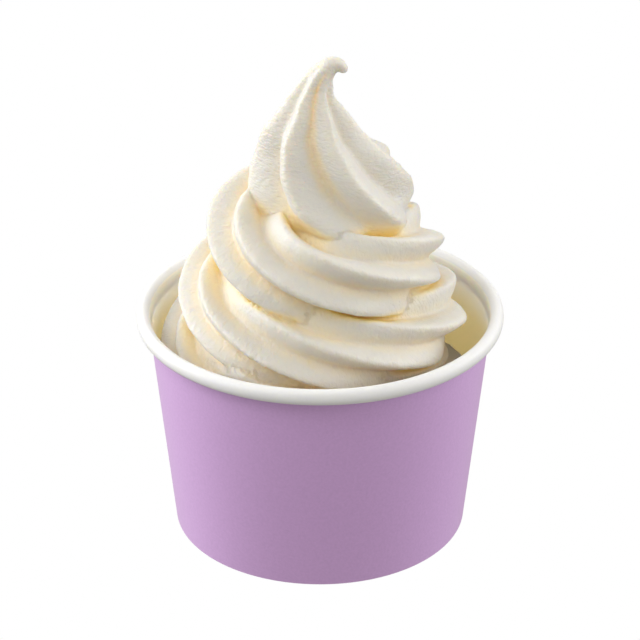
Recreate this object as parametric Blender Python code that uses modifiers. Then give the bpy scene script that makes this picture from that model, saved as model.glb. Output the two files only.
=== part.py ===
# Frozen yogurt cup: a paper cup with a rolled rim and a swirl of frozen yogurt piped from a
# six-pointed star nozzle. Metres, Z up, origin on the ground under the middle of the cup.
import math

import bmesh
import bpy
import numpy as np

# Paper cup
cup_height = 0.0615
foot_radius = 0.039
wall_radius_at_rim = 0.0447
wall_thickness = 0.0008
rim_width = 0.0036
rim_height = 0.0041
rim_radius = 0.048
base_recess = 0.004
base_thickness = 0.0012
foot_width = 0.0018
cup_sides = 72

# Swirl, from its start behind the peak to its end in the cup. Stations are turns of the
# nozzle, counted from the right-hand side and running round the back, left and front.
turns = (0.08, 0.2, 0.35, 0.5, 0.7, 1.0, 1.4, 1.8, 2.2, 2.6, 3.1)
swirl_radius = (0.0085, 0.011, 0.0138, 0.0168, 0.0186, 0.0202, 0.0244, 0.026, 0.0296, 0.0272, 0.0265)
swirl_height = (0.0935, 0.0915, 0.0885, 0.0848, 0.08, 0.077, 0.0685, 0.0614, 0.0575, 0.0487, 0.0515)
swirl_drift = (0.0025, 0.002, 0.0015, 0.001, 0.0005, -0.0008, -0.0013, -0.0018, -0.0022, -0.0045, -0.002)
rope_radius = (0.005, 0.0095, 0.0133, 0.0142, 0.0146, 0.0135, 0.0108, 0.0128, 0.0123, 0.01, 0.0105)
rope_twist = (0, -4, -7, -8, -8, -2, -11, -23, -30, -30, -45)
rope_squash = (0.84, 0.84, 0.85, 0.84, 0.85, 0.88, 0.9, 0.9, 0.9, 0.9, 0.9)
# Where the rope is pressed in or swollen: the place in turns, the side in degrees from outward
# to up, how far it stands out, and how far that spreads in turns and in degrees.
bulges = (
    (0.58, 122, -0.0025, 0.05, 22),
    (1.73, 88, 0.0025, 0.035, 22),
    (1.885, 90, 0.0012, 0.03, 25),
    (1.96, -45, -0.0018, 0.05, 20),
    (2.67, 50, 0.0035, 0.03, 25),
)
crest_shift = (-9, -13, 0, 13, 3, -3)
rings_per_turn = 54
inner_limit = 0.0015

# Peak, from its foot up to the hook at its tip
peak_height = (0.084, 0.088, 0.091, 0.095, 0.1, 0.106, 0.112, 0.118, 0.1225)
peak_radius = (0.0152, 0.0185, 0.0206, 0.0212, 0.0194, 0.0159, 0.0118, 0.0074, 0.0046)
peak_lean = (0.0052, 0.0051, 0.0046, 0.003, 0.0014, -0.0003, -0.0021, -0.002, -0.001)
peak_twist = (64, 57, 50, 42, 33, 27, 28, 32, 32)
peak_groove = (0.08, 0.12, 0.2, 0.31, 0.36, 0.36, 0.36, 0.36, 0.36)
hook_height = (0.1253, 0.1271, 0.1283, 0.1284, 0.1274)
hook_radius = (0.0035, 0.0028, 0.0023, 0.0019, 0.0014)
hook_reach = (0.0002, 0.0016, 0.0031, 0.0045, 0.0057)
peak_rings = 34
shoulder_bulge = 0.008
shoulder_height = 0.0992
shoulder_spread = 0.005
shoulder_side = 6
shoulder_angle = 18

# Star nozzle
star_points = 6
groove_depth = peak_groove[-1]
crest_rounding = 0.12
groove_rounding = 0.25
crest_steps = (-30, -18, -8, 0, 8, 18)

# Yogurt under the swirl
fill_height = 0.038
fill_gap = 0.0003
core_sides = 36
core_height = (0.03, 0.045, 0.06, 0.07, 0.08, 0.086, 0.092, 0.1)
core_radius = (0.032, 0.033, 0.031, 0.028, 0.0228, 0.016, 0.012, 0.008)

weld_distance = 0.00004


def clear_scene():
    for old in list(bpy.data.objects):
        bpy.data.objects.remove(old)


def new_collection(name):
    made = bpy.data.collections.new(name)
    bpy.context.scene.collection.children.link(made)
    return made


def add_mesh(name, vertices, faces, collection):
    mesh = bpy.data.meshes.new(name)
    mesh.from_pydata([tuple(point) for point in vertices], [], faces)
    mesh.update()
    made = bpy.data.objects.new(name, mesh)
    collection.objects.link(made)
    return made


def give_material(target, name, colour, roughness):
    material = bpy.data.materials.new(name)
    material.use_nodes = True
    shader = material.node_tree.nodes["Principled BSDF"]
    shader.inputs["Base Color"].default_value = (*colour, 1)
    shader.inputs["Roughness"].default_value = roughness
    target.data.materials.clear()
    target.data.materials.append(material)


def tidy_mesh(target, distance):
    work = bmesh.new()
    work.from_mesh(target.data)
    bmesh.ops.remove_doubles(work, verts=work.verts, dist=distance)
    bmesh.ops.dissolve_degenerate(work, dist=distance, edges=work.edges)
    bmesh.ops.triangulate(work, faces=work.faces)
    bmesh.ops.recalc_face_normals(work, faces=work.faces)
    work.to_mesh(target.data)
    work.free()
    target.data.update()


def eased(stations, values, at):
    # A smooth curve through the stations that never overshoots between them.
    x = np.asarray(stations, float)
    y = np.asarray(values, float)
    at = np.asarray(at, float)
    step = np.diff(x)
    rise = np.diff(y) / step
    slope = np.zeros(len(x))
    slope[0] = rise[0]
    slope[-1] = rise[-1]
    for i in range(1, len(x) - 1):
        if rise[i - 1] * rise[i] > 0:
            before = 2 * step[i] + step[i - 1]
            after = step[i] + 2 * step[i - 1]
            slope[i] = (before + after) / (before / rise[i - 1] + after / rise[i])
    cell = np.clip(np.searchsorted(x, at) - 1, 0, len(x) - 2)
    t = (at - x[cell]) / step[cell]
    start = y[cell] * (1 + 2 * t) * (1 - t) ** 2 + step[cell] * slope[cell] * t * (1 - t) ** 2
    end = y[cell + 1] * t * t * (3 - 2 * t) + step[cell] * slope[cell + 1] * t * t * (t - 1)
    return start + end


def unit(vectors):
    return vectors / np.linalg.norm(vectors, axis=-1, keepdims=True)


def star_angles():
    # Angles round the nozzle, closer together on the crests.
    spacing = 360 / star_points
    return np.array([spacing * (point + 0.5) + step for point in range(star_points) for step in crest_steps])


def star_outline(angles, depth):
    # Distance from the middle of the rope to its star outline, as a share of the crest radius.
    half = 180 / star_points
    away = np.abs(angles % (2 * half) - half) / half
    crest = np.sqrt(away * away + crest_rounding ** 2) - crest_rounding
    ridge = 1 - crest / (math.sqrt(1 + crest_rounding ** 2) - crest_rounding)
    soft = groove_rounding / 2 + ridge * ridge / (2 * groove_rounding)
    ridge = np.where(ridge < groove_rounding, soft, ridge)
    ridge = (ridge - groove_rounding / 2) / (1 - groove_rounding / 2)
    return 1 - depth + depth * ridge


def uneven_crests(angles):
    # How far each crest sits out of its even place round the nozzle, in degrees.
    place = (angles * star_points / 360 - 0.5) % star_points
    return np.interp(place, range(star_points + 1), crest_shift + crest_shift[:1])


def bell(away, spread):
    return np.exp(-(away / spread) ** 2)


def off_side(angles, side):
    # Degrees from a side, the short way round.
    return (angles - side + 180) % 360 - 180


def loft(name, rings, collection):
    # One closed skin over a row of rings with the same number of points.
    count = len(rings[0])
    vertices = [point for ring in rings for point in ring]
    faces = []
    for row in range(len(rings) - 1):
        for i in range(count):
            here = row * count + i
            beside = row * count + (i + 1) % count
            faces.append((here, beside, beside + count, here + count))
    faces.append(tuple(range(count))[::-1])
    faces.append(tuple(range((len(rings) - 1) * count, len(rings) * count)))
    made = add_mesh(name, vertices, faces, collection)
    tidy_mesh(made, 1e-7)
    return made


def swirl_rings():
    at = np.linspace(turns[0], turns[-1], round((turns[-1] - turns[0]) * rings_per_turn) + 1)
    round_axis = 2 * math.pi * at
    outward = np.stack([np.cos(round_axis), np.sin(round_axis), 0 * at], axis=-1)
    radius = eased(turns, swirl_radius, at)
    middle = np.stack([eased(turns, swirl_drift, at), 0 * at, eased(turns, swirl_height, at)], axis=-1)
    path = outward * radius[:, None] + middle
    along = unit(np.gradient(path, at, axis=0))
    normal = unit(outward - np.sum(outward * along, axis=-1, keepdims=True) * along)
    upward = np.cross(normal, along)
    thick = eased(turns, rope_radius, at)
    twist = eased(turns, rope_twist, at)
    squash = eased(turns, rope_squash, at)
    angles = star_angles()
    outline = star_outline(angles, groove_depth)
    shift = uneven_crests(angles)
    rings = []
    for i in range(len(at)):
        turned = angles + shift + twist[i] - 360 * at[i]
        reach = thick[i] * outline
        for place, side, swell, length, width in bulges:
            reach = reach + swell * bell(at[i] - place, length) * bell(off_side(turned, side), width)
        across = reach * np.cos(np.radians(turned))
        above = reach * np.sin(np.radians(turned)) * squash[i]
        across = np.maximum(across, inner_limit - radius[i])
        rings.append(path[i] + normal[i] * across[:, None] + upward[i] * above[:, None])
    return rings


def peak_and_hook_rings():
    height = np.array(peak_height + hook_height)
    lean = np.array(peak_lean + hook_reach)
    size = np.array(peak_radius + hook_radius)
    twist = np.array(peak_twist + (peak_twist[-1],) * len(hook_height))
    length = np.concatenate([[0], np.cumsum(np.hypot(np.diff(height), np.diff(lean)))])
    hook_start = length[len(peak_height) - 1]
    at = np.linspace(0, length[-1], peak_rings)
    x = eased(length, lean, at)
    z = eased(length, height, at)
    radius = eased(length, size, at)
    turn = eased(length, twist, at)
    groove = eased(length[:len(peak_height)], peak_groove, np.minimum(at, hook_start))
    tipped = np.clip((at - length[6]) / (hook_start - length[6]), 0, 1)
    tilt = np.arctan2(np.gradient(x, at), np.gradient(z, at)) * tipped
    plain = np.clip((at - hook_start) / (length[-1] - hook_start), 0, 1)
    angles = star_angles()
    rings = []
    for i in range(len(at)):
        reach = radius[i] * star_outline(angles, groove[i] * (1 - plain[i] ** 0.6))
        beside = bell(off_side(angles, shoulder_side), shoulder_angle)
        reach = reach + shoulder_bulge * beside * bell(z[i] - shoulder_height, shoulder_spread)
        side = reach * np.cos(np.radians(angles + turn[i]))
        deep = reach * np.sin(np.radians(angles + turn[i]))
        ring = np.stack([x[i] + side * math.cos(tilt[i]), deep, z[i] - side * math.sin(tilt[i])], axis=-1)
        rings.append(ring)
    middle = rings[-1].mean(axis=0)
    last = rings[-1]
    ahead = np.array([math.sin(tilt[-1]), 0, math.cos(tilt[-1])])
    for share in (0.5, 0.87):
        rings.append(middle + (last - middle) * math.sqrt(1 - share ** 2) + ahead * radius[-1] * share)
    return rings


def wall_radius(height):
    return foot_radius + (wall_radius_at_rim - foot_radius) * height / (cup_height - rim_height)


def round_rings(radii, heights, sides):
    angles = 2 * math.pi * np.arange(sides) / sides
    circle = np.stack([np.cos(angles), np.sin(angles), 0 * angles], axis=-1)
    return [circle * radius + np.array([0, 0, height]) for radius, height in zip(radii, heights)]


def fuse(name, pieces, collection):
    # One union of all the pieces, then anything left floating inside is dropped.
    cutters = new_collection(name + " pieces")
    first = pieces[0]
    for piece in pieces[1:]:
        collection.objects.unlink(piece)
        cutters.objects.link(piece)
    union = first.modifiers.new("union", "BOOLEAN")
    union.operation = "UNION"
    union.operand_type = "COLLECTION"
    union.collection = cutters
    union.solver = "EXACT"
    union.use_self = True
    bpy.context.view_layer.objects.active = first
    bpy.ops.object.modifier_apply(modifier="union")
    for piece in list(cutters.objects):
        bpy.data.objects.remove(piece)
    bpy.data.collections.remove(cutters)
    first.name = name
    return first


def drop_flaps(work):
    # Takes out pairs of faces that lie back to back on the same three corners.
    found = {}
    for face in work.faces:
        found.setdefault(frozenset(face.verts), []).append(face)
    flaps = [face for faces in found.values() if len(faces) > 1 for face in faces]
    bmesh.ops.delete(work, geom=flaps, context="FACES")


def keep_outer_skin(target):
    work = bmesh.new()
    work.from_mesh(target.data)
    bmesh.ops.remove_doubles(work, verts=work.verts, dist=weld_distance)
    bmesh.ops.dissolve_degenerate(work, dist=weld_distance, edges=work.edges)
    bmesh.ops.triangulate(work, faces=work.faces)
    drop_flaps(work)
    unseen = set(work.faces)
    shells = []
    while unseen:
        shell = [unseen.pop()]
        for face in shell:
            for edge in face.edges:
                for beside in edge.link_faces:
                    if beside in unseen:
                        unseen.remove(beside)
                        shell.append(beside)
        shells.append(shell)
    shells.sort(key=len)
    for shell in shells[:-1]:
        bmesh.ops.delete(work, geom=shell, context="FACES")
    loose = [vertex for vertex in work.verts if not vertex.link_faces]
    bmesh.ops.delete(work, geom=loose, context="VERTS")
    bmesh.ops.recalc_face_normals(work, faces=work.faces)
    work.to_mesh(target.data)
    work.free()


def build_cup(collection):
    # The wall, its rolled rim and the recessed base turned as one closed outline.
    rim_middle = rim_radius - rim_width / 2
    rim_level = cup_height - rim_height / 2
    base_top = base_recess + base_thickness
    outline = [(0, base_recess), (wall_radius(0) - foot_width, base_recess), (wall_radius(0) - foot_width, 0)]
    outline.append((wall_radius(0), 0))
    outline.append((wall_radius(cup_height - rim_height), cup_height - rim_height))
    for angle in range(-90, 181, 30):
        across = rim_middle + rim_width / 2 * math.cos(math.radians(angle))
        level = rim_level + rim_height / 2 * math.sin(math.radians(angle))
        outline.append((across, level))
    outline.append((wall_radius(base_top) - wall_thickness, base_top))
    outline.append((0, base_top))
    mesh = bpy.data.meshes.new("paper_cup")
    mesh.from_pydata([(x, 0, z) for x, z in outline], [(i, i + 1) for i in range(len(outline) - 1)], [])
    made = bpy.data.objects.new("paper_cup", mesh)
    collection.objects.link(made)
    turn = made.modifiers.new("turn", "SCREW")
    turn.steps = cup_sides
    turn.render_steps = cup_sides
    turn.use_merge_vertices = True
    turn.merge_threshold = 0.0001
    bpy.context.view_layer.objects.active = made
    bpy.ops.object.modifier_apply(modifier="turn")
    tidy_mesh(made, 1e-6)
    return made


def build_yogurt(collection):
    swirl = loft("swirl", swirl_rings(), collection)
    peak = loft("peak", peak_and_hook_rings(), collection)
    core = loft("core", round_rings(core_radius, core_height, core_sides), collection)
    floor = base_recess + base_thickness + fill_gap
    inner = wall_thickness + fill_gap
    fill_radii = (wall_radius(floor) - inner, wall_radius(fill_height) - inner)
    fill = loft("fill", round_rings(fill_radii, (floor, fill_height), cup_sides), collection)
    made = fuse("frozen_yogurt", [swirl, peak, core, fill], collection)
    keep_outer_skin(made)
    return made


def main():
    clear_scene()
    collection = new_collection("frozen yogurt cup")
    cup = build_cup(collection)
    give_material(cup, "lilac paper", (0.67, 0.42, 0.75), 0.75)
    yogurt = build_yogurt(collection)
    give_material(yogurt, "frozen yogurt", (0.8, 0.78, 0.72), 0.42)
    for made in (cup, yogurt):
        made.data.shade_smooth()
        made.data.set_sharp_from_angle(angle=math.radians(40))


main()
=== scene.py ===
import math

import bmesh
import bpy
import numpy as np
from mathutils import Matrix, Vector, kdtree, noise
from mathutils.bvhtree import BVHTree


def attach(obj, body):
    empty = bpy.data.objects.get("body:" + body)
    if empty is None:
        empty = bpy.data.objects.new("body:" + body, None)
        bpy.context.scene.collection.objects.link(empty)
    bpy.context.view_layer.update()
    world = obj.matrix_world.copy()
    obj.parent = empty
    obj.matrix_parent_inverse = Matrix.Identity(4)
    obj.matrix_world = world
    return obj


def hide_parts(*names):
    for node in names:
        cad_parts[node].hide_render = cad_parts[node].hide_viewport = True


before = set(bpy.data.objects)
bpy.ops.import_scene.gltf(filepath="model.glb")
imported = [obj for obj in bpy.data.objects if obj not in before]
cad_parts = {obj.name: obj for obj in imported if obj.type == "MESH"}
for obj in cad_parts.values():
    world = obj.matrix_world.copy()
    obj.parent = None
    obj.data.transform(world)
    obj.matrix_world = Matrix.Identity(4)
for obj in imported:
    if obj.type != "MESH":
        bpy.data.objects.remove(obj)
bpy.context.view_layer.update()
print("frame loaded:", sorted(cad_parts))


# A socket of a material, with sums written as Python expressions.
class Wire:
    def __init__(self, tree, socket):
        self.tree = tree
        self.socket = socket

    def maths(self, operation, first, second):
        made = self.tree.nodes.new("ShaderNodeMath")
        made.operation = operation
        for slot, value in zip(made.inputs, (first, second)):
            if isinstance(value, Wire):
                self.tree.links.new(value.socket, slot)
            else:
                slot.default_value = value
        return Wire(self.tree, made.outputs[0])

    def __add__(self, other):
        return self.maths("ADD", self, other)

    def __radd__(self, other):
        return self.maths("ADD", other, self)

    def __mul__(self, other):
        return self.maths("MULTIPLY", self, other)

    def __rmul__(self, other):
        return self.maths("MULTIPLY", other, self)


# The nodes of one material, or of the world.
class Finish:
    def __init__(self, owner):
        self.owner = owner
        owner.use_nodes = True
        self.tree = owner.node_tree
        self.tree.nodes.clear()

    def node(self, kind, settings=None, values=None, output=0):
        made = self.tree.nodes.new(kind)
        for key, value in (settings or {}).items():
            setattr(made, key, value)
        for key, value in (values or {}).items():
            if isinstance(value, Wire):
                self.tree.links.new(value.socket, made.inputs[key])
            else:
                made.inputs[key].default_value = value
        return Wire(self.tree, made.outputs[output])

    def attribute(self, name, output):
        return self.node("ShaderNodeAttribute", {"attribute_name": name}, output=output)

    def grain(self, place, scale, detail):
        return self.node("ShaderNodeTexNoise", values={"Vector": place, "Scale": scale, "Detail": detail})

    def softStep(self, value, low, high):
        # 0 up to low, 1 past high
        return self.node("ShaderNodeMapRange", {"interpolation_type": "SMOOTHSTEP"}, {
            "Value": value, "From Min": low, "From Max": high})

    def mix(self, share, first, second):
        # a Mix node's two colours are its sockets 6 and 7
        colours = {slot: colour if isinstance(colour, Wire) else (*colour, 1)
                   for slot, colour in ((6, first), (7, second))}
        return self.node("ShaderNodeMix", {"data_type": "RGBA"}, {"Factor": share, **colours}, output=2)

    def show(self, surface, end="ShaderNodeOutputMaterial"):
        made = self.tree.nodes.new(end)
        self.tree.links.new(surface.socket, made.inputs["Surface"])
        return self.owner


def eased(stations, values, at):
    # a smooth curve through the stations that never overshoots between them
    x = np.asarray(stations, float)
    y = np.asarray(values, float)
    at = np.asarray(at, float)
    step = np.diff(x)
    rise = np.diff(y) / step
    slope = np.zeros(len(x))
    slope[0] = rise[0]
    slope[-1] = rise[-1]
    for i in range(1, len(x) - 1):
        if rise[i - 1] * rise[i] > 0:
            before = 2 * step[i] + step[i - 1]
            after = step[i] + 2 * step[i - 1]
            slope[i] = (before + after) / (before / rise[i - 1] + after / rise[i])
    cell = np.clip(np.searchsorted(x, at) - 1, 0, len(x) - 2)
    t = (at - x[cell]) / step[cell]
    start = y[cell] * (1 + 2 * t) * (1 - t) ** 2 + step[cell] * slope[cell] * t * (1 - t) ** 2
    end = y[cell + 1] * t * t * (3 - 2 * t) + step[cell] * slope[cell + 1] * t * t * (t - 1)
    return start + end


def unit(vectors):
    return vectors / np.linalg.norm(vectors, axis=-1, keepdims=True)


def bell(away, spread):
    return np.exp(-(away / spread) ** 2)


def offSide(angles, side):
    # degrees from a side, the short way round
    return (angles - side + 180) % 360 - 180


def addObject(name, work):
    mesh = bpy.data.meshes.new(name)
    work.to_mesh(mesh)
    work.free()
    made = bpy.data.objects.new(name, mesh)
    bpy.context.scene.collection.objects.link(made)
    return made


def applyModifiers(target):
    shown = target.evaluated_get(bpy.context.evaluated_depsgraph_get())
    mesh = bpy.data.meshes.new_from_object(shown)
    target.modifiers.clear()
    target.data = mesh


def readPoints(mesh):
    flat = np.zeros(len(mesh.vertices) * 3)
    mesh.vertices.foreach_get("co", flat)
    return flat.reshape(-1, 3)


def readNormals(mesh):
    flat = np.zeros(len(mesh.vertices) * 3)
    mesh.vertex_normals.foreach_get("vector", flat)
    return flat.reshape(-1, 3)


# The star that the yogurt is piped through. Angles are in degrees.
nozzle = {
    "points": 6,
    "grooveDepth": 0.36,  # a share of the crest radius
    "crestRounding": 0.12,
    "grooveRounding": 0.25,
    "crestShift": (-9, -13, 0, 13, 3, -3),
    "steps": 120,
}


def fromCrest(angles):
    # 0 on a crest of the star, 1 in a groove
    half = 180 / nozzle["points"]
    return np.abs(angles % (2 * half) - half) / half


def starOutline(angles, depth):
    # distance from the middle of the rope to its star outline, as a share of the crest radius
    away = fromCrest(angles)
    soft = nozzle["crestRounding"]
    crest = np.sqrt(away * away + soft ** 2) - soft
    ridge = 1 - crest / (math.sqrt(1 + soft ** 2) - soft)
    blend = nozzle["grooveRounding"]
    ridge = np.where(ridge < blend, blend / 2 + ridge * ridge / (2 * blend), ridge)
    ridge = (ridge - blend / 2) / (1 - blend / 2)
    return 1 - depth + depth * ridge


def crestShift(angles):
    # how far each crest sits out of its even place round the nozzle
    shift = nozzle["crestShift"]
    place = (angles * nozzle["points"] / 360 - 0.5) % nozzle["points"]
    return np.interp(place, range(nozzle["points"] + 1), shift + shift[:1])


# The swirl is one star-shaped rope. Stations are turns of the nozzle, counted from the
# right-hand side and running round the back, left and front. Lengths are in metres.
swirl = {
    "turns": (0.08, 0.2, 0.35, 0.5, 0.7, 1.0, 1.4, 1.8, 2.2, 2.6, 3.1),
    "radius": (0.0085, 0.011, 0.0138, 0.0168, 0.0186, 0.0202, 0.0244, 0.026, 0.0296, 0.0272, 0.0265),
    "height": (0.0935, 0.0915, 0.0885, 0.0848, 0.08, 0.077, 0.0685, 0.0614, 0.0575, 0.0487, 0.0515),
    "drift": (0.0025, 0.002, 0.0015, 0.001, 0.0005, -0.0008, -0.0013, -0.0018, -0.0022, -0.0045, -0.002),
    "thick": (0.005, 0.0095, 0.0133, 0.0142, 0.0146, 0.0135, 0.0108, 0.0128, 0.0123, 0.01, 0.0105),
    "twist": (0, -4, -7, -8, -8, -2, -11, -23, -30, -30, -45),
    "squash": (0.84, 0.84, 0.85, 0.84, 0.85, 0.88, 0.9, 0.9, 0.9, 0.9, 0.9),
    "innerLimit": 0.0015,  # the rope stops this far from the axis
    "ringsPerTurn": 110,
}

# Where the rope is pressed in or swollen. The side is in degrees from outward to up.
bulges = {
    "pressedUnderPeak": {"turns": 0.58, "side": 122, "swell": -0.0025, "length": 0.05, "width": 22},
    "frontLump": {"turns": 1.73, "side": 88, "swell": 0.0025, "length": 0.035, "width": 22},
    "rightLump": {"turns": 1.885, "side": 90, "swell": 0.0012, "length": 0.03, "width": 25},
    "rightHollow": {"turns": 1.96, "side": -45, "swell": -0.0018, "length": 0.05, "width": 20},
    "tornLobe": {"turns": 2.67, "side": 50, "swell": 0.0035, "length": 0.03, "width": 25},
}


def swirlRings():
    turns = swirl["turns"]
    at = np.linspace(turns[0], turns[-1], round((turns[-1] - turns[0]) * swirl["ringsPerTurn"]) + 1)
    roundAxis = 2 * math.pi * at
    outward = np.stack([np.cos(roundAxis), np.sin(roundAxis), 0 * at], axis=-1)
    radius = eased(turns, swirl["radius"], at)
    middle = np.stack([eased(turns, swirl["drift"], at), 0 * at, eased(turns, swirl["height"], at)], axis=-1)
    path = outward * radius[:, None] + middle
    along = unit(np.gradient(path, at, axis=0))
    side = unit(outward - np.sum(outward * along, axis=-1, keepdims=True) * along)
    up = np.cross(side, along)
    thick = eased(turns, swirl["thick"], at)
    squash = eased(turns, swirl["squash"], at)
    turn = eased(turns, swirl["twist"], at) - 360 * at
    angles = np.arange(nozzle["steps"]) * 360 / nozzle["steps"]
    turned = angles + crestShift(angles) + turn[:, None]
    reach = thick[:, None] * starOutline(angles, nozzle["grooveDepth"])
    for bulge in bulges.values():
        nearby = bell(at - bulge["turns"], bulge["length"])[:, None]
        reach = reach + bulge["swell"] * nearby * bell(offSide(turned, bulge["side"]), bulge["width"])
    turned = np.radians(turned)
    across = np.maximum(reach * np.cos(turned), (swirl["innerLimit"] - radius)[:, None])
    above = reach * np.sin(turned) * squash[:, None]
    points = path[:, None] + side[:, None] * across[..., None] + up[:, None] * above[..., None]
    gone = np.concatenate([[0], np.cumsum(np.linalg.norm(np.diff(path, axis=0), axis=1))])
    return {"points": points, "middle": path, "side": side, "up": up, "along": along,
            "turn": turn, "squash": squash, "gone": gone}


# The peak stands on the swirl as upright stars that twist, then lean over into the hook.
peak = {
    "height": (0.084, 0.088, 0.091, 0.095, 0.1, 0.106, 0.112, 0.118, 0.1225),
    "radius": (0.0152, 0.0185, 0.0206, 0.0212, 0.0194, 0.0159, 0.0118, 0.0074, 0.0046),
    "lean": (0.0052, 0.0051, 0.0046, 0.003, 0.0014, -0.0003, -0.0021, -0.002, -0.001),
    "twist": (64, 57, 50, 42, 33, 27, 28, 32, 32),
    "groove": (0.08, 0.12, 0.2, 0.31, 0.36, 0.36, 0.36, 0.36, 0.36),
    "hookHeight": (0.1253, 0.1271, 0.1283, 0.1284, 0.1274),
    "hookRadius": (0.0035, 0.0028, 0.0023, 0.0019, 0.0014),
    "hookReach": (0.0002, 0.0016, 0.0031, 0.0045, 0.0057),
    "hookFade": 0.6,  # how soon the grooves fade out along the hook
    "endRounding": (0.3, 0.55, 0.75, 0.9, 0.98),
    "tipsFrom": 6,  # the station where the stars start to lean over
    "rings": 100,
    "shoulder": 0.008,
    "shoulderHeight": 0.0992,
    "shoulderSpread": 0.005,
    "shoulderSide": 6,
    "shoulderAngle": 18,
}


def peakRings():
    height = np.array(peak["height"] + peak["hookHeight"])
    lean = np.array(peak["lean"] + peak["hookReach"])
    size = np.array(peak["radius"] + peak["hookRadius"])
    twist = np.array(peak["twist"] + (peak["twist"][-1],) * len(peak["hookHeight"]))
    length = np.concatenate([[0], np.cumsum(np.hypot(np.diff(height), np.diff(lean)))])
    hookStart = length[len(peak["height"]) - 1]
    at = np.linspace(0, length[-1], peak["rings"])
    x = eased(length, lean, at)
    z = eased(length, height, at)
    thick = eased(length, size, at)
    turn = eased(length, twist, at)
    tipped = np.clip((at - length[peak["tipsFrom"]]) / (hookStart - length[peak["tipsFrom"]]), 0, 1)
    tilt = np.arctan2(np.gradient(x, at), np.gradient(z, at)) * tipped
    plain = np.clip((at - hookStart) / (length[-1] - hookStart), 0, 1)
    angles = np.arange(nozzle["steps"]) * 360 / nozzle["steps"]
    groove = eased(length[:len(peak["groove"])], peak["groove"], np.minimum(at, hookStart))
    depth = groove * (1 - plain ** peak["hookFade"])
    beside = bell(offSide(angles, peak["shoulderSide"]), peak["shoulderAngle"])
    above = bell(z - peak["shoulderHeight"], peak["shoulderSpread"])
    reach = thick[:, None] * starOutline(angles[None, :], depth[:, None])
    reach = reach + peak["shoulder"] * beside[None, :] * above[:, None]
    turned = np.radians(angles + turn[:, None])
    none = 0 * at
    side = np.stack([np.cos(tilt), none, -np.sin(tilt)], axis=-1)
    up = np.stack([none, none + 1, none], axis=-1)
    along = np.stack([np.sin(tilt), none, np.cos(tilt)], axis=-1)
    path = np.stack([x, none, z], axis=-1)
    across = (reach * np.cos(turned))[..., None]
    deep = (reach * np.sin(turned))[..., None]
    points = path[:, None] + side[:, None] * across + up[:, None] * deep
    # the rounded end of the hook
    last = points[-1]
    middle = last.mean(axis=0)
    caps = []
    for share in peak["endRounding"]:
        caps.append(middle + (last - middle) * math.sqrt(1 - share ** 2) + along[-1] * thick[-1] * share)
    points = np.concatenate([points, np.array(caps)])
    grow = lambda values: np.concatenate([values, np.repeat(values[-1:], len(caps), axis=0)])
    return {"points": points, "middle": grow(path), "side": grow(side), "up": grow(up), "along": grow(along),
            "turn": grow(turn), "squash": grow(none + 1), "gone": grow(at)}


def ropePlace(points, ropes):
    # where each point lies on its rope, once the rope is straightened: two lengths across and one along,
    # and its angle round the star
    tree = kdtree.KDTree(sum(rope["points"][..., 0].size for rope in ropes))
    owner = []
    for number, rope in enumerate(ropes):
        for ring, row in enumerate(rope["points"]):
            for point in row:
                tree.insert(point, len(owner))
                owner.append((number, ring))
    tree.balance()
    owner = np.array(owner)
    nearest = np.array([tree.find(point)[1] for point in points])
    place = np.zeros((len(points), 3))
    for number, rope in enumerate(ropes):
        mine = np.flatnonzero(owner[nearest, 0] == number)
        ring = owner[nearest[mine], 1]
        offset = points[mine] - rope["middle"][ring]
        across = np.sum(offset * rope["side"][ring], axis=1)
        above = np.sum(offset * rope["up"][ring], axis=1) / rope["squash"][ring]
        back = np.radians(-rope["turn"][ring])
        place[mine, 0] = across * np.cos(back) - above * np.sin(back)
        place[mine, 1] = across * np.sin(back) + above * np.cos(back)
        place[mine, 2] = rope["gone"][ring] + np.sum(offset * rope["along"][ring], axis=1) + number
    return place, np.degrees(np.arctan2(place[:, 1], place[:, 0])) % 360


cup = {
    "height": 0.0615,
    "footRadius": 0.039,
    "wallRadiusAtRim": 0.0447,
    "wallThickness": 0.0008,
    "rimWidth": 0.0036,
    "rimHeight": 0.0041,
    "rimRadius": 0.048,
    "baseRecess": 0.004,
    "baseThickness": 0.0012,
    "footWidth": 0.0018,
    "sides": 256,
    "rimSteps": 20,
    "sharpAngle": 35,
}


def wallRadius(height):
    slope = (cup["wallRadiusAtRim"] - cup["footRadius"]) / (cup["height"] - cup["rimHeight"])
    return cup["footRadius"] + slope * height


def buildCup():
    # the wall, its rolled rim and the recessed base are one outline, turned once round
    across = cup["rimWidth"] / 2
    tall = cup["rimHeight"] / 2
    rimMiddle = cup["rimRadius"] - across
    rimLevel = cup["height"] - tall
    rimFoot = cup["height"] - cup["rimHeight"]
    baseTop = cup["baseRecess"] + cup["baseThickness"]
    footInside = wallRadius(0) - cup["footWidth"]
    outline = [(0, cup["baseRecess"]), (footInside, cup["baseRecess"]), (footInside, 0),
               (wallRadius(0), 0), (wallRadius(rimFoot), rimFoot)]
    for step in range(cup["rimSteps"] + 1):
        angle = math.radians(-90 + 270 * step / cup["rimSteps"])
        outline.append((rimMiddle + across * math.cos(angle), rimLevel + tall * math.sin(angle)))
    outline += [(wallRadius(baseTop) - cup["wallThickness"], baseTop), (0, baseTop)]
    work = bmesh.new()
    before = None
    for x, z in outline:
        vertex = work.verts.new((x, 0, z))
        if before:
            work.edges.new((before, vertex))
        before = vertex
    bmesh.ops.spin(work, geom=work.verts[:] + work.edges[:], cent=(0, 0, 0), axis=(0, 0, 1),
                   angle=2 * math.pi, steps=cup["sides"], use_merge=True, dvec=(0, 0, 0))
    bmesh.ops.remove_doubles(work, verts=work.verts, dist=1e-6)
    bmesh.ops.recalc_face_normals(work, faces=work.faces)
    made = addObject("paperCup", work)
    made.data.shade_smooth()
    made.data.set_sharp_from_angle(angle=math.radians(cup["sharpAngle"]))
    return made


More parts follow.
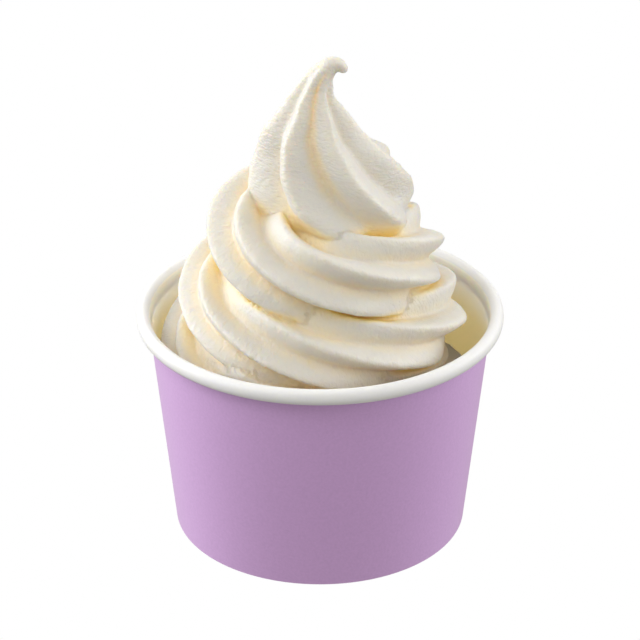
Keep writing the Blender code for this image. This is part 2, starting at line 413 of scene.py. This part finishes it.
# The yogurt inside the cup, and the core that the rope is wound on.
filling = {
    "level": 0.038,
    "gap": 0.0003,
    "sides": 144,
    "coreHeight": (0.03, 0.045, 0.06, 0.07, 0.08, 0.086, 0.092, 0.1),
    "coreRadius": (0.032, 0.033, 0.031, 0.028, 0.0228, 0.016, 0.012, 0.008),
    "coreSides": 72,
}

# Depths are in metres, sizes in millimetres and rates in waves per millimetre.
yogurtSkin = {
    "voxel": 0.00042,
    "smoothing": 3,
    "lumpDepth": 0.00014,
    "lumpSize": 4.0,
    "wrinkleDepth": 0.00011,
    "wrinkleRate": (0.22, 0.22, 1.1),
    "patchSize": 7.0,  # the wrinkles come and go in patches
    "patchShare": 0.35,
    "beadDepth": 0.0003,
    "beadRate": 0.7,
    "beadSpread": 0.22,
    "seedStep": (7.31, 3.17, 5.73),
    "triangles": 196000,
}


def roundRings(radii, heights, sides):
    angles = 2 * math.pi * np.arange(sides) / sides
    circle = np.stack([np.cos(angles), np.sin(angles), 0 * angles], axis=-1)
    return np.array([circle * radius + (0, 0, height) for radius, height in zip(radii, heights)])


def loft(work, rings):
    # circles placed ring by ring and bridged, with both ends filled
    before = None
    for points in rings:
        made = bmesh.ops.create_circle(work, cap_ends=False, radius=1, segments=len(points))["verts"]
        for vertex, point in zip(made, points):
            vertex.co = point
        edges = list({edge for vertex in made for edge in vertex.link_edges})
        if before is None:
            bmesh.ops.edgeloop_fill(work, edges=edges)
        else:
            bmesh.ops.bridge_loops(work, edges=before + edges)
        before = edges
    bmesh.ops.edgeloop_fill(work, edges=before)


def noiseAt(points, seed):
    shift = Vector([seed * step for step in yogurtSkin["seedStep"]])
    return np.array([noise.noise(Vector(point) + shift) for point in points])


def wrinkleSkin(made, ropes):
    # lumps all over, wrinkles across the rope, and beads along its crests
    points = readPoints(made.data)
    place, angle = ropePlace(points, ropes)
    lumps = noiseAt(points * 1000 / yogurtSkin["lumpSize"], 1)
    patches = np.clip(noiseAt(points * 1000 / yogurtSkin["patchSize"], 3) + yogurtSkin["patchShare"], 0, 1)
    wrinkles = noiseAt(place * 1000 * yogurtSkin["wrinkleRate"], 2) * patches
    onCrest = bell(fromCrest(angle), yogurtSkin["beadSpread"])
    beads = np.clip(noiseAt(place * 1000 * yogurtSkin["beadRate"], 4), 0, 1) * onCrest
    move = yogurtSkin["lumpDepth"] * lumps + yogurtSkin["wrinkleDepth"] * wrinkles
    move += yogurtSkin["beadDepth"] * beads
    points = points + readNormals(made.data) * move[:, None]
    made.data.vertices.foreach_set("co", points.ravel())
    made.data.update()


def buildYogurt(ropes):
    work = bmesh.new()
    for rope in ropes:
        loft(work, rope["points"])
    loft(work, roundRings(filling["coreRadius"], filling["coreHeight"], filling["coreSides"]))
    floor = cup["baseRecess"] + cup["baseThickness"] + filling["gap"]
    inner = cup["wallThickness"] + filling["gap"]
    radii = (wallRadius(floor) - inner, wallRadius(filling["level"]) - inner)
    loft(work, roundRings(radii, (floor, filling["level"]), filling["sides"]))
    bmesh.ops.recalc_face_normals(work, faces=work.faces)
    made = addObject("yogurtSwirl", work)
    print("rope lofted:", len(made.data.vertices), "points")
    remesh = made.modifiers.new("remesh", "REMESH")
    remesh.mode = "VOXEL"
    remesh.voxel_size = yogurtSkin["voxel"]
    smooth = made.modifiers.new("smooth", "SMOOTH")
    smooth.iterations = yogurtSkin["smoothing"]
    applyModifiers(made)
    print("skin remeshed:", len(made.data.vertices), "points")
    wrinkleSkin(made, ropes)
    made.data.calc_loop_triangles()
    thin = made.modifiers.new("thin", "DECIMATE")
    thin.ratio = min(1, yogurtSkin["triangles"] / len(made.data.loop_triangles))
    applyModifiers(made)
    made.data.shade_smooth()
    print("skin thinned:", len(made.data.vertices), "points")
    return made


# How closed in each point of the yogurt is, which sets the painted shade in its colour. Lengths are in
# metres.
shade = {
    "rays": 16,
    "reach": 0.02,
    "lift": 0.00015,
    "nearLength": 0.002,
    "farLength": 0.008,
    "blur": 3,
    "seed": 4,
    "grooveShade": 0.32,  # painted shade: the groove down the front of the peak is coloured darker than the others
    "grooveWidth": 0.3,
    "grooveSide": -90,
    "grooveSpread": 35,
    "grooveStart": 0.096,
    "grooveFade": 0.014,
}


def rayFan(normals):
    # rays spread over each point's open side, turned by a random angle from point to point
    rays = shade["rays"]
    spot = np.arange(rays) + 0.5
    away = np.sqrt(spot / rays)
    spin = spot * math.pi * (3 - math.sqrt(5))
    fan = np.stack([away * np.cos(spin), away * np.sin(spin), np.sqrt(1 - away ** 2)], axis=-1)
    helper = np.where(np.abs(normals[:, 2:]) < 0.9, (0.0, 0.0, 1.0), (1.0, 0.0, 0.0))
    first = unit(np.cross(helper, normals))
    second = np.cross(normals, first)
    roll = np.random.default_rng(shade["seed"]).random(len(normals)) * 2 * math.pi
    cosine = np.cos(roll)[:, None]
    sine = np.sin(roll)[:, None]
    for ray in fan:
        flat = ray[0] * (first * cosine + second * sine) + ray[1] * (second * cosine - first * sine)
        yield flat + ray[2] * normals


def shelter(mesh):
    # how closed in each point is, for the painted shade: first by what is very near it, then by what is
    # further off
    points = readPoints(mesh)
    normals = readNormals(mesh)
    mesh.calc_loop_triangles()
    corners = np.zeros(len(mesh.loop_triangles) * 3, int)
    mesh.loop_triangles.foreach_get("vertices", corners)
    tree = BVHTree.FromPolygons(points.tolist(), corners.reshape(-1, 3).tolist(), all_triangles=True)
    start = (points + normals * shade["lift"]).tolist()
    near = np.zeros(len(points))
    far = np.zeros(len(points))
    for aim in rayFan(normals):
        gone = np.array([tree.ray_cast(a, b, shade["reach"])[3] or 1 for a, b in zip(start, aim.tolist())])
        near += np.exp(-gone / shade["nearLength"])
        far += np.exp(-gone / shade["farLength"])
    edges = np.zeros(len(mesh.edges) * 2, int)
    mesh.edges.foreach_get("vertices", edges)
    edges = edges.reshape(-1, 2)
    count = np.bincount(edges.ravel(), minlength=len(points)) + 1
    both = np.stack([near, far], axis=-1) / shade["rays"]
    for _ in range(shade["blur"]):
        total = both.copy()
        for column in range(2):
            total[:, column] += np.bincount(edges[:, 0], both[edges[:, 1], column], len(points))
            total[:, column] += np.bincount(edges[:, 1], both[edges[:, 0], column], len(points))
        both = total / count[:, None]
    return both


# stores where each point lies on the rope, and how closed in it is as amounts of painted shade
def markRopeAndShade(made, ropes):
    points = readPoints(made.data)
    place, angle = ropePlace(points, ropes)
    rope = made.data.attributes.new("rope", "FLOAT_VECTOR", "POINT")
    rope.data.foreach_set("vector", place.ravel())
    closed = shelter(made.data)
    print("creases found:", closed.mean(axis=0).round(3), closed.max(axis=0).round(3))
    # painted shade down the groove on the front of the peak, from grooveStart upward
    upper = np.clip((points[:, 2] - shade["grooveStart"]) / shade["grooveFade"], 0, 1)
    aside = offSide(np.degrees(np.arctan2(points[:, 1], points[:, 0])), shade["grooveSide"])
    paintedGrooveShade = bell(1 - fromCrest(angle), shade["grooveWidth"]) * upper * bell(aside, shade["grooveSpread"])
    closed[:, 1] += paintedGrooveShade * shade["grooveShade"]
    # the near and the far amounts of painted shade, read by the yogurt's colour
    for name, column in (("tightShade", 0), ("shelteredShade", 1)):
        values = made.data.attributes.new(name, "FLOAT", "POINT")
        values.data.foreach_set("value", closed[:, column])


# Colours are linear, and rates are waves per metre. A range says where a tint starts and is full. The three
# tints that follow the shade amounts are painted shade: warm tan in hollows, gold in creases, dark brown in
# the tightest slots.
yogurtLook = {
    "low": (0.73, 0.715, 0.675),
    "high": (0.77, 0.755, 0.715),
    "mottleRate": 120,
    "shelteredShade": (0.91, 0.80, 0.575),
    "shelteredShadeRange": (0.04, 0.36),
    "creaseShade": (0.97, 0.76, 0.32),
    "creaseShadeRange": (0.08, 0.44),
    # slot: painted shade, dark brown in the tightest slots
    "slot": (0.72, 0.40, 0.07),
    "slotShadeRange": (0.42, 0.75),
    "roughness": 0.42,
    "soft": 0.7,  # the share of light that goes into the yogurt
    "softColour": (1, 0.8, 0.45),
    "softLength": 0.0045,
    "grainRate": 900,
    "grainShare": 0.35,
    "wrinkleRate": (700, 700, 1800),
    "bump": 0.8,
    "bumpDepth": 0.0006,
}


def yogurtFinish():
    look = yogurtLook
    finish = Finish(bpy.data.materials.new("frozenYogurt"))
    rope = finish.attribute("rope", "Vector")
    shelteredShade = finish.attribute("shelteredShade", "Fac")
    tightShade = finish.attribute("tightShade", "Fac")
    place = finish.node("ShaderNodeTexCoord", output="Object")
    stretched = finish.node("ShaderNodeVectorMath", {"operation": "MULTIPLY"}, {
        0: rope, 1: look["wrinkleRate"]})
    grain = finish.grain(place, look["grainRate"], 3)
    wrinkle = finish.grain(stretched, 1, 2)
    height = grain * look["grainShare"] + wrinkle * (1 - look["grainShare"])
    bump = finish.node("ShaderNodeBump", values={
        "Height": height, "Strength": look["bump"], "Distance": look["bumpDepth"]})
    colour = finish.mix(finish.grain(place, look["mottleRate"], 2), look["low"], look["high"])
    # painted shade: warm tan where sheltered, gold in creases, dark brown in the tightest slots
    colour = finish.mix(finish.softStep(shelteredShade, *look["shelteredShadeRange"]), colour, look["shelteredShade"])
    colour = finish.mix(finish.softStep(tightShade, *look["creaseShadeRange"]), colour, look["creaseShade"])
    colour = finish.mix(finish.softStep(tightShade, *look["slotShadeRange"]), colour, look["slot"])
    return finish.show(finish.node("ShaderNodeBsdfPrincipled", values={
        "Base Color": colour, "Roughness": look["roughness"], "Subsurface Weight": look["soft"],
        "Subsurface Radius": look["softColour"], "Subsurface Scale": look["softLength"], "Normal": bump}))


# The lilac print outside, the white rim and underside, and the bare paper inside, which has painted
# warm bounce light and shade that grow the deeper it lies beside the yogurt.
cupLook = {
    "lilacPaper": {"low": (0.61, 0.378, 0.725), "high": (0.73, 0.462, 0.845), "roughness": 0.75,
                   "sheen": 0.35, "soft": 0, "softColour": (1, 1, 0.9), "softLength": 0.002},
    "whitePaper": {"low": (0.82, 0.83, 0.85), "high": (0.86, 0.87, 0.89), "roughness": 0.45,
                   "sheen": 0, "soft": 1, "softColour": (1, 1, 0.9), "softLength": 0.002},
    "innerPaper": {"low": (0.94, 0.91, 0.84), "high": (0.97, 0.94, 0.87), "roughness": 0.5,
                   "sheen": 0, "soft": 1, "softColour": (1, 0.75, 0.5), "softLength": 0.0045,
                   # deep: painted warm bounce light and shade down inside the cup
                   "deep": (1.0, 0.72, 0.47), "deepBounceShadeRange": (0.061, 0.049)},
    "grainRate": 1400,
    "bump": 0.15,
    "bumpDepth": 0.0002,
    "sheenRoughness": 0.4,
}


def paperFinish(name):
    look = cupLook[name]
    finish = Finish(bpy.data.materials.new(name))
    place = finish.node("ShaderNodeTexCoord", output="Object")
    grain = finish.grain(place, cupLook["grainRate"], 3)
    colour = finish.mix(grain, look["low"], look["high"])
    # painted warm bounce light and shade, starting at the first height and full at the second and below
    if "deep" in look:
        level = finish.node("ShaderNodeSeparateXYZ", values={"Vector": place}, output="Z")
        colour = finish.mix(finish.softStep(level, *look["deepBounceShadeRange"]), colour, look["deep"])
    bump = finish.node("ShaderNodeBump", values={
        "Height": grain, "Strength": cupLook["bump"], "Distance": cupLook["bumpDepth"]})
    return finish.show(finish.node("ShaderNodeBsdfPrincipled", values={
        "Base Color": colour, "Roughness": look["roughness"], "Sheen Weight": look["sheen"],
        "Sheen Roughness": cupLook["sheenRoughness"], "Subsurface Weight": look["soft"],
        "Subsurface Radius": look["softColour"], "Subsurface Scale": look["softLength"], "Normal": bump}))


def dressCup(paper):
    for name in ("lilacPaper", "whitePaper", "innerPaper"):
        paper.data.materials.append(paperFinish(name))
    lilac, white, inner = range(3)
    near = cup["wallThickness"] / 2
    for face in paper.data.polygons:
        level = face.center.z
        away = math.hypot(face.center.x, face.center.y) - wallRadius(level)
        if abs(away) < near and level < cup["height"] - cup["rimHeight"]:
            face.material_index = lilac
        elif away < -near and level > cup["baseRecess"]:
            face.material_index = inner
        else:
            face.material_index = white


# Each softbox has its azimuth, its rise and its share of the power. Azimuth 0 is the camera's
# side and 90 the right.
studio = {
    "floorLight": 0.31,
    "skyLight": 0.50,
    "fillTint": (1, 0.957, 0.865),
    "floorSize": 3,
    "floorDrop": 0.0004,
    "power": 4.95,
    "distance": 1.0,
    "aim": 0.07,
    "softboxSize": 0.45,
    "softboxes": {
        "leftBack": (-110, 20, 1.06),
        "left": (-80, 15, 0.38),
        "leftFront": (-50, 50, 0.58),
        "rightFront": (50, 20, 0.14),
        "right": (80, 15, 0.41),
        "rightBack": (110, 20, 0.63),
        "back": (180, 50, 0.38),
    },
}


def glow(owner, kind, given, end):
    # plain white to look at, dimmer and warmer as a light
    finish = Finish(owner)
    seen = finish.node("ShaderNodeLightPath", output="Is Camera Ray")
    tint = finish.mix(seen, studio["fillTint"], (1, 1, 1))
    strength = seen * (1 - given) + given
    return finish.show(finish.node(kind, values={"Color": tint, "Strength": strength}), end)


def addLight(name, azimuth, rise, share):
    # a softbox aimed at the middle of the swirl
    lamp = bpy.data.lights.new(name, "AREA")
    lamp.size = studio["softboxSize"]
    lamp.energy = studio["power"] * share
    made = bpy.data.objects.new(name, lamp)
    across = math.radians(azimuth)
    up = math.radians(rise)
    away = Vector((math.sin(across) * math.cos(up), -math.cos(across) * math.cos(up), math.sin(up)))
    made.location = Vector((0, 0, studio["aim"])) + away * studio["distance"]
    made.rotation_euler = (-away).to_track_quat("-Z", "Y").to_euler()
    bpy.context.scene.collection.objects.link(made)


def dressStage():
    work = bmesh.new()
    bmesh.ops.create_grid(work, x_segments=1, y_segments=1, size=studio["floorSize"])
    bmesh.ops.translate(work, verts=work.verts, vec=(0, 0, -studio["floorDrop"]))
    floor = addObject("paleFloor", work)
    pale = bpy.data.materials.new("paleFloorWhite")
    pale = glow(pale, "ShaderNodeEmission", studio["floorLight"], "ShaderNodeOutputMaterial")
    floor.data.materials.append(pale)
    sky = bpy.data.worlds.new("softStudio")
    sky = glow(sky, "ShaderNodeBackground", studio["skyLight"], "ShaderNodeOutputWorld")
    bpy.context.scene.world = sky
    for name, (azimuth, rise, share) in studio["softboxes"].items():
        addLight(name, azimuth, rise, share)


# The photo's viewing angle. The camera looks down at a point on the cup's axis.
viewpoint = {
    "lens": 137.4,
    "sensorWidth": 36,
    "pitch": 27.40,
    "distance": 0.6405,
    "aim": 0.05683,
    "farthest": 20,
}


def addCamera():
    view = bpy.data.cameras.new("view")
    view.lens = viewpoint["lens"]
    view.sensor_width = viewpoint["sensorWidth"]
    view.clip_end = viewpoint["farthest"]
    made = bpy.data.objects.new("view", view)
    pitch = math.radians(viewpoint["pitch"])
    back = viewpoint["distance"] * math.cos(pitch)
    made.location = (0, -back, viewpoint["aim"] + viewpoint["distance"] * math.sin(pitch))
    made.rotation_euler = (math.pi / 2 - pitch, 0, 0)
    bpy.context.scene.collection.objects.link(made)
    bpy.context.scene.camera = made


ropes = [swirlRings(), peakRings()]
yogurt = buildYogurt(ropes)
markRopeAndShade(yogurt, ropes)
yogurt.data.materials.append(yogurtFinish())
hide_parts("frozen_yogurt")
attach(yogurt, "root")
print("yogurt dressed")

paper = buildCup()
dressCup(paper)
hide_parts("paper_cup")
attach(paper, "root")
print("cup dressed")

dressStage()
addCamera()
bpy.context.scene.view_settings.view_transform = "Standard"
print("stage set")
